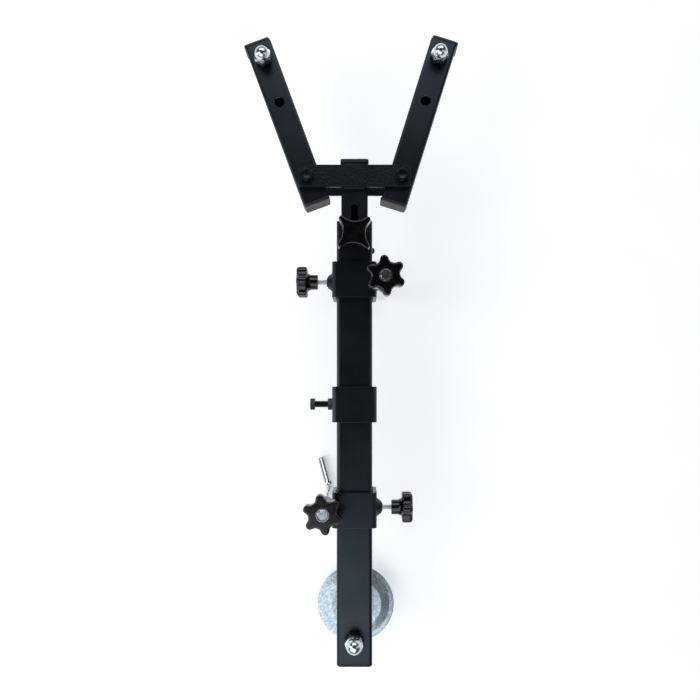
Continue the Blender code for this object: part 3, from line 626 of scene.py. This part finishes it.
# ---- tubes, caps and plates --------------------------------------------------------------------
def tube(node, axis, corner, wall, cuts=()):
    """A square steel tube with round corners and deburred ends."""
    middle = centre(node)
    side = axis.cross(Z)
    low, high = span(node, axis, middle)
    left, right = span(node, side, middle)
    back, front = span(node, Z, middle)
    place = stand(middle, axis, side)
    outer = square_bar(right - left, front - back, corner, low, high)
    for height in (low, high):
        soften(outer, height, CUT_EDGE, 2)
    hollow = square_bar(
        right - left - 2 * wall, front - back - 2 * wall, max(corner - wall, 0.8 * MM),
        low - wall, high + wall,
    )
    steps = [("DIFFERENCE", put(hollow, place))]
    steps += [("DIFFERENCE", cut) for cut in cuts]
    return made(node + "_steel", [node], put(outer, place), steps)


def cap(node, axis, lip, corner, rounding=CAP_ROUND):
    """A push-in end cap: a lip with a rounded rim over a hollow plug. The axis points out of the tube."""
    middle = centre(node)
    side = axis.cross(Z)
    low, high = span(node, axis, middle)
    left, right = span(node, side, middle)
    back, front = span(node, Z, middle)
    place = stand(middle, axis, side)
    head = square_bar(right - left, front - back, corner, high - lip, high)
    soften(head, high, rounding, 5)
    soften(head, high - lip, 0.3 * MM, 2)
    plug_size = right - left - 2 * (TUBE_WALL + CAP_ROOM)
    plug = square_bar(plug_size, plug_size, 1.2 * MM, low, high - lip / 2)
    hollow_size = plug_size - 2 * CAP_WALL
    hollow = square_bar(hollow_size, hollow_size, 1 * MM, low - lip, high - lip)
    steps = [("UNION", put(plug, place)), ("DIFFERENCE", put(hollow, place))]
    return made(node + "_moulding", [node], put(head, place), steps)


def build_tubes():
    """The mast, the inner mast with its slot, the arms with their spare holes, and the three sleeves."""
    tube("outer_mast_tube", Y, MAST_CORNER, TUBE_WALL)
    for word in ("top", "middle", "bottom"):
        tube(f"sleeve_{word}_tube", Y, SLEEVE_CORNER, SLEEVE_WALL)

    inner = centre("inner_mast_tube")
    slot_y = span("inner_mast_tube", Y)[1] - SLOT_DOWN - SLOT_LENGTH / 2
    slot_middle = Vector((inner.x, slot_y, inner.z))
    slot = square_bar(SLOT_WIDTH, SLOT_LENGTH, SLOT_WIDTH / 2 - 0.01 * MM, 0, THROUGH, 12)
    tube("inner_mast_tube", Y, INNER_CORNER, TUBE_WALL, [put(slot, Matrix.Translation(slot_middle))])

    for word in ("left", "right"):
        axis = arm_axis(word)
        pivot = centre(f"pivot_bolt_{word}")
        bolt = centre(f"board_jam_nut_{word}")
        spare = bolt - axis * SPARE_HOLE_BACK
        spare.z = pivot.z = bolt.z = centre(f"arm_tube_{word}").z
        holes = ((SPARE_HOLE_RADIUS, spare), (M8 + HOLE_ROOM, pivot), (M10 + HOLE_ROOM, bolt))
        cuts = [put(bar(radius, -THROUGH, THROUGH), stand(at)) for radius, at in holes]
        tube(f"arm_tube_{word}", axis, INNER_CORNER, TUBE_WALL, cuts)
        cap(f"arm_top_cap_{word}", axis, CAP_LIP, INNER_CORNER)
        cap(f"arm_bottom_cap_{word}", -axis, CAP_LIP, INNER_CORNER)
    cap("outer_mast_cap", -Y, CAP_LIP, MAST_CORNER + 0.5 * MM, MAST_CAP_ROUND)
    cap("inner_mast_cap", Y, INNER_CAP_LIP, INNER_CORNER)


def build_plates():
    """Two flat plates with round corners, welded across the inner mast."""
    for word in ("front", "rear"):
        node = f"cross_plate_{word}"
        low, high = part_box(node)
        middle = (low + high) / 2
        size = high - low
        plate = square_bar(size.x, size.y, PLATE_CORNER, -size.z / 2, size.z / 2, 8)
        for height in (-size.z / 2, size.z / 2):
            soften(plate, height, PLATE_ROUND, 3)
        cuts = []
        for side in ("left", "right"):
            pivot = centre(f"pivot_bolt_{side}")
            pivot.z = middle.z
            cuts.append(("DIFFERENCE", put(bar(M8 + HOLE_ROOM, -THROUGH, THROUGH), stand(pivot))))
        made(node + "_steel", [node], put(plate, Matrix.Translation(middle)), cuts)
        face = low.z if word == "front" else high.z
        half = (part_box("inner_mast_tube")[1].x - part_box("inner_mast_tube")[0].x) / 2 - INNER_CORNER
        for edge_y, name in ((low.y, "lower"), (high.y, "upper")):
            bead(f"{node}_{name}_weld", node, Vector((-half, edge_y, face)), Vector((half, edge_y, face)))


def bead(name, node, start, end, radius=BEAD):
    """A run of weld: a half-buried round bead with the ripples of the arc."""
    run = end - start
    length = run.length
    count = max(3, round(length / RIPPLE))
    profile = [(0, length)]
    for i in range(count * 4 + 1):
        along = i / (count * 4)
        ripple = 0.86 + 0.14 * abs(math.sin(math.pi * count * along))
        taper = min(1, math.sin(math.pi * min(max(along, 0.02), 0.98)) * 4)
        profile.append((radius * ripple * taper, length * (1 - along)))
    profile.append((0, 0))
    side = Z if abs(run.normalized().z) < 0.9 else X
    shape = put(lathe(profile, 16), stand(start, run.normalized(), side))
    item = made(name, [node], shape, stands_for=False, sharp=50)
    item.data.materials.clear()
    item.data.materials.append(FINISHES["satin_black_paint"])
    return item


# ---- nuts and bolts ----------------------------------------------------------------------------
def nut(node, up, radius):
    """A chamfered hexagon nut."""
    place, low, high, corner = seat(node, up)
    blank_shape = put(hexagon_cut(corner, low, high), place)
    hole = put(bar(radius + THREAD_ROOM, low - MM, high + MM), place)
    sides = put(slab(polygon(corner, 6), low, high), place)
    return made(node + "_hexagon", [node], sides, [("INTERSECT", blank_shape), ("DIFFERENCE", hole)])


def domed_nut(node, hex_tall, radius):
    """A zinc-plated domed nut."""
    place, low, high, corner = seat(node, Z)
    flats = corner * math.cos(math.pi / 6)
    dome = flats * 0.93
    neck = high - dome
    arc = [math.pi / 2 * i / 14 for i in range(15)]
    profile = [(dome * math.sin(a), neck + dome * math.cos(a)) for a in arc]
    profile += [(dome, low + hex_tall / 2), (0, low + hex_tall / 2)]
    hexagon = put(slab(polygon(corner, 6), low, low + hex_tall), place)
    steps = [
        ("INTERSECT", put(hexagon_cut(corner, low, low + hex_tall), place)),
        ("UNION", put(lathe(profile), place)),
        ("DIFFERENCE", put(bar(radius + THREAD_ROOM, low - MM, high - 2 * MM - radius), place)),
    ]
    return made(node + "_dome", [node], hexagon, steps)


def hexagon_bolt(node, up, radius, head):
    """A hexagon bolt: a chamfered head, dished on top, on a washer face, and its thread."""
    place, low, high, corner = seat(node, up)
    dish = corner * 0.66
    deep = 0.7 * MM
    mouth = dish * (1 + 0.3 * MM / deep)
    hollow = [(0, high + MM), (mouth, high + MM), (dish * 0.7, high - deep), (0, high - deep)]
    sides = put(slab(polygon(corner, 6), high - head + 0.3 * MM, high), place)
    steps = [
        ("INTERSECT", put(hexagon_cut(corner, high - head, high, False), place)),
        ("UNION", put(bar(corner * 0.8, high - head, high - head / 2), place)),
        ("UNION", put(thread(radius, low, high - head * 0.4), place)),
        ("DIFFERENCE", put(lathe(hollow), place)),
    ]
    return made(node + "_turned", [node], sides, steps)


def build_fasteners():
    """The nuts and bolts of the arms, the stop sleeve and the foot."""
    for word in ("left", "right"):
        hexagon_bolt(f"pivot_bolt_{word}", Z, M8, HEAD_M8)
        nut(f"pivot_nut_{word}", Z, M8)
        nut(f"board_jam_nut_{word}", Z, M10)
        domed_nut(f"board_acorn_nut_{word}", ACORN_HEX_M10, M10)
        place, low, high, reach = seat(f"board_bolt_{word}", Z)
        head = 5 * MM
        dome = [(0, low), (reach * 0.55, low + 0.4 * MM), (reach * 0.85, low + 1.5 * MM)]
        dome += [(reach, low + 3.4 * MM), (reach, low + head)]
        dome += [(M10, low + head), (M10, high - MM), (M10 - MM, high), (0, high)]
        made(f"board_bolt_{word}_turned", [f"board_bolt_{word}"], put(lathe(dome[::-1]), place))
    hexagon_bolt("set_bolt", -X, M8, HEAD_M8)
    nut("set_bolt_nut", -X, M8)
    nut("knob_weld_nut", Z, M6)
    nut("foot_jam_nut", Z, M12)
    nut("foot_rear_nut", Z, M12)
    domed_nut("foot_acorn_nut", ACORN_HEX_M12, M12)

    place, low, high, reach = seat("bush_screw", X)
    arc = [math.pi / 2 * i / 8 for i in range(9)]
    tall = 2.8 * MM
    profile = [(reach * math.sin(a), high - tall + tall * math.cos(a)) for a in arc]
    profile += [(2 * MM, high - tall), (2 * MM, low), (0, low)]
    recess = [("DIFFERENCE", put(square_bar(*size, 0.1 * MM, high - 1.4 * MM, high + MM, 2), place))
              for size in ((4.2 * MM, 1.1 * MM), (1.1 * MM, 4.2 * MM))]
    made("bush_screw_turned", ["bush_screw"], put(lathe(profile), place), recess)


# ---- knobs -------------------------------------------------------------------------------------
def grip(node, up, bore, count, notch, lobe, head, hub_radius, hub_flare, rounds):
    """A moulded grip: a lobed head with soft edges on a round hub, bored for its insert or stud."""
    place, low, high, tip = seat(node, up)
    top_round, under_round = rounds
    shape = slab(lobes(count, tip, notch, lobe), high - head, high)
    soften(shape, high, top_round, 5)
    soften(shape, high - head, under_round, 4)
    hub_top = high - head / 2
    hub = [(0, hub_top), (hub_radius + hub_flare, hub_top), (hub_radius + hub_flare, high - head)]
    hub += [(hub_radius + hub_flare * 0.4, high - head - hub_flare * 0.5)]
    hub += [(hub_radius, high - head - hub_flare * 1.4), (hub_radius, low + 0.6 * MM)]
    hub += [(hub_radius - 0.6 * MM, low), (0, low)]
    radius, deep = bore
    steps = [
        ("UNION", put(lathe(hub), place)),
        ("DIFFERENCE", put(bar(radius, low - MM, low + deep), place)),
    ]
    return made(node + "_moulding", [node], put(shape, place), steps, sharp=40)


def build_knobs():
    """The cross-shaped mast knob, the two star knobs and the two clamp knobs, with their metal."""
    grip("cross_knob", Z, (M6 + GRIP_ROOM, 10 * MM), **CROSS_GRIP)
    place, low, high, reach = seat("cross_knob_stud", Z)
    made("cross_knob_stud_turned", ["cross_knob_stud"], put(thread(M6, low, high), place))
    for word, up in (("top", -X), ("bottom", X)):
        place, low, high = seat(f"star_knob_{word}", Z)[:3]
        insert_radius = seat(f"star_insert_{word}", Z)[3]
        grip(f"star_knob_{word}", Z, (insert_radius + 0.05 * MM, high - low + 2 * MM), **STAR_GRIP)
        rim = insert_radius - 0.5 * MM
        bore_radius = M12 + THREAD_ROOM
        sleeve = [(bore_radius, high - 0.5 * MM), (bore_radius + 0.4 * MM, high), (rim, high)]
        sleeve += [(insert_radius, high - 0.5 * MM), (insert_radius, low), (bore_radius, low)]
        made(f"star_insert_{word}_turned", [f"star_insert_{word}"], put(lathe(sleeve), place))

        grip(f"clamp_knob_{word}", up, (M6 + GRIP_ROOM, 12 * MM), **CLAMP_GRIP)
        place, low, high, reach = seat(f"clamp_stud_{word}", up)
        made(f"clamp_stud_{word}_turned", [f"clamp_stud_{word}"], put(thread(M6, low, high), place))

        place, low, high, reach = seat(f"clamp_boss_{word}", up)
        made(
            f"clamp_boss_{word}_weld", [f"clamp_boss_{word}"], put(weld_cone(low, high, reach), place),
            [
                ("UNION", put(slab(polygon(5.8 * MM, 6), low + 0.5 * MM, high + 1.2 * MM), place)),
                ("DIFFERENCE", put(bar(M6 + GRIP_ROOM, low - MM, high + 2 * MM), place)),
            ],
        )


def weld_cone(low, high, reach):
    """A cone of weld round a nut, with the scallops of each pass."""
    steps = 96
    profile = [(0, high), (reach * 0.62, high), (reach * 0.76, high * 0.55 + low * 0.45)]
    profile += [(reach * 0.9, high * 0.2 + low * 0.8), (reach * 0.98, low), (0, low)]
    shape = lathe(profile, steps)
    for vertex in shape.verts:
        flat = math.hypot(vertex.co.x, vertex.co.y)
        if flat > reach * 0.5:
            turn = math.atan2(vertex.co.y, vertex.co.x)
            wave = 1 + 0.022 * math.cos(22 * turn + 0.6 * math.sin(3 * turn))
            vertex.co.x *= wave
            vertex.co.y *= wave
    return shape


# ---- hooks, lugs and foot ----------------------------------------------------------------------
def build_hooks():
    """The M12 hook bolts, and the tubes they slide in, welded to the sleeves."""
    for word in ("top", "bottom"):
        node = f"hook_bolt_{word}"
        axis_point = centre(f"star_insert_{word}")
        low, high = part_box(node)
        reaches = [vertex.co - axis_point for vertex in frame["nodes"][node].data.vertices]
        for reach in reaches:
            reach.z = 0
        leg = max(reaches, key=lambda reach: reach.length)
        foot = Vector((axis_point.x, axis_point.y, 0))
        place = stand(foot, Z, leg)
        split = high.z - HOOK_THREAD
        shape = hook_bar(split + 0.6 * MM, low.z + M12, leg.length)
        made(
            node + "_steel", [node], put(shape, place),
            [("UNION", put(thread(M12, split, high.z), place))],
        )

        lug = f"hook_lug_{word}"
        place, low_z, high_z, reach = seat(lug, Z)
        bore_radius = M12 + HOLE_ROOM
        edge = 0.6 * MM
        ring = [(bore_radius, high_z), (reach - edge, high_z), (reach, high_z - edge)]
        ring += [(reach, low_z + edge), (reach - edge, low_z), (bore_radius, low_z)]
        made(lug + "_steel", [lug], put(lathe(ring), place))
        sleeve_low, sleeve_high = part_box(f"sleeve_{word}_tube")
        middle = centre(lug)
        face_x = sleeve_high.x if middle.x > 0 else sleeve_low.x
        for side in (-1, 1):
            y = middle.y + side * reach * 0.62
            start = Vector((face_x, y, middle.z + low_z + 5 * MM))
            end = Vector((face_x, y, middle.z + high_z - 5 * MM))
            bead(f"{lug}_{'near' if side < 0 else 'far'}_weld", lug, start, end, BEAD * 1.25)


def hook_bar(high, leg_height, leg_reach):
    """A round bar: down the shaft, round the bend and out along the leg to its chamfered end."""
    shape = bmesh.new()
    bmesh.ops.create_circle(shape, cap_ends=False, radius=M12, segments=40)
    bmesh.ops.translate(shape, verts=shape.verts, vec=(0, 0, high))
    ring = shape.edges[:]
    bend_height = leg_height + HOOK_BEND
    chamfer = 1.6 * MM
    ring = run_on(shape, ring, (0, 0, bend_height - high))
    turned = bmesh.ops.spin(
        shape, geom=ring + list(dict.fromkeys(vertex for edge in ring for vertex in edge.verts)),
        cent=(HOOK_BEND, 0, bend_height), axis=(0, 1, 0), angle=-math.pi / 2, steps=14,
    )["geom_last"]
    ring = [item for item in turned if isinstance(item, bmesh.types.BMEdge)]
    ring = run_on(shape, ring, (leg_reach - HOOK_BEND - chamfer, 0, 0))
    ring = run_on(shape, ring, (chamfer, 0, 0))
    points = list(dict.fromkeys(vertex for edge in ring for vertex in edge.verts))
    about = Matrix.Translation((leg_reach, 0, leg_height))
    shrink = about @ Matrix.Scale(1 - chamfer / M12, 4) @ about.inverted()
    bmesh.ops.transform(shape, matrix=shrink, verts=points)
    bmesh.ops.holes_fill(shape, edges=shape.edges, sides=0)
    bmesh.ops.remove_doubles(shape, verts=shape.verts, dist=0.001 * MM)
    bmesh.ops.recalc_face_normals(shape, faces=shape.faces)
    return shape


def run_on(shape, ring, step):
    """Extrudes a ring of edges by one step and gives the new ring."""
    grown = bmesh.ops.extrude_edge_only(shape, edges=ring)["geom"]
    moved = [item for item in grown if isinstance(item, bmesh.types.BMVert)]
    bmesh.ops.translate(shape, verts=moved, vec=step)
    return [item for item in grown if isinstance(item, bmesh.types.BMEdge)]


def build_foot():
    """The screw foot: a threaded rod with a ball end, and the pressed disc it tilts on."""
    ball = Vector(JOINTS["foot_disc_tilt"]["pos_m"])
    low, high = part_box("foot_rod")
    ball_radius = ball.z - low.z
    neck_radius = 4.5 * MM
    neck_high = ball_radius * 1.35
    start = math.asin(neck_radius / ball_radius)
    arc = [start + (math.pi - start) * i / 16 for i in range(17)]
    profile = [(0, neck_high + 4 * MM), (neck_radius, neck_high + 4 * MM)]
    profile += [(ball_radius * math.sin(a), ball_radius * math.cos(a)) for a in arc[:-1]]
    profile.append((0, -ball_radius))
    place = stand(ball)
    made(
        "foot_rod_turned", ["foot_rod"], put(lathe(profile), place),
        [("UNION", put(thread(M12, neck_high, high.z - ball.z), place))],
    )

    low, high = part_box("foot_disc")
    radius = (high.x - low.x) / 2
    under = low.z - ball.z
    sheet = 2.5 * MM
    rim = under + sheet
    ridge = rim + 3.5 * MM
    middle = ridge - 1.5 * MM
    cavity = ball_radius + 0.3 * MM
    mouth = math.asin(6.6 * MM / cavity)
    mouth_z = cavity * math.cos(mouth)
    arc = [math.pi + (mouth - math.pi) * i / 16 for i in range(17)]
    socket = cavity + 3.5 * MM
    profile = [(0, -cavity)] + [(cavity * math.sin(a), cavity * math.cos(a)) for a in arc[1:]]
    profile += [(7.4 * MM, mouth_z + 0.8 * MM), (socket - 2 * MM, mouth_z + 0.8 * MM)]
    profile += [(socket - 0.5 * MM, mouth_z), (socket, mouth_z - 1.5 * MM)]
    profile += [(socket + 0.4 * MM, middle + 3 * MM)]
    profile += [(socket + 1.2 * MM, middle + 1.2 * MM), (socket + 3 * MM, middle + 0.3 * MM)]
    profile += [(30 * MM, ridge - 0.25 * MM), (32 * MM, ridge), (34 * MM, ridge - 0.3 * MM)]
    profile += [(radius - 7 * MM, rim + 0.7 * MM), (radius - 5 * MM, rim + 0.25 * MM)]
    profile += [(radius - 1.2 * MM, rim), (radius - 0.35 * MM, rim - 0.35 * MM), (radius, rim - 1.2 * MM)]
    profile += [(radius, under + 0.8 * MM), (radius - 0.8 * MM, under), (radius - 5 * MM, under)]
    profile += [(32 * MM, ridge - sheet), (socket + 3 * MM, middle - sheet), (0, middle - sheet)]
    made("foot_disc_pressing", ["foot_disc"], put(lathe(profile, 128), place), sharp=40)


# ---- the model ---------------------------------------------------------------------------------
studio()
for node, item in frame["nodes"].items():
    item.data.materials.clear()
    item.data.materials.append(FINISHES[SLOT_OF[node]])
build_tubes()
build_plates()
build_fasteners()
build_knobs()
build_hooks()
build_foot()
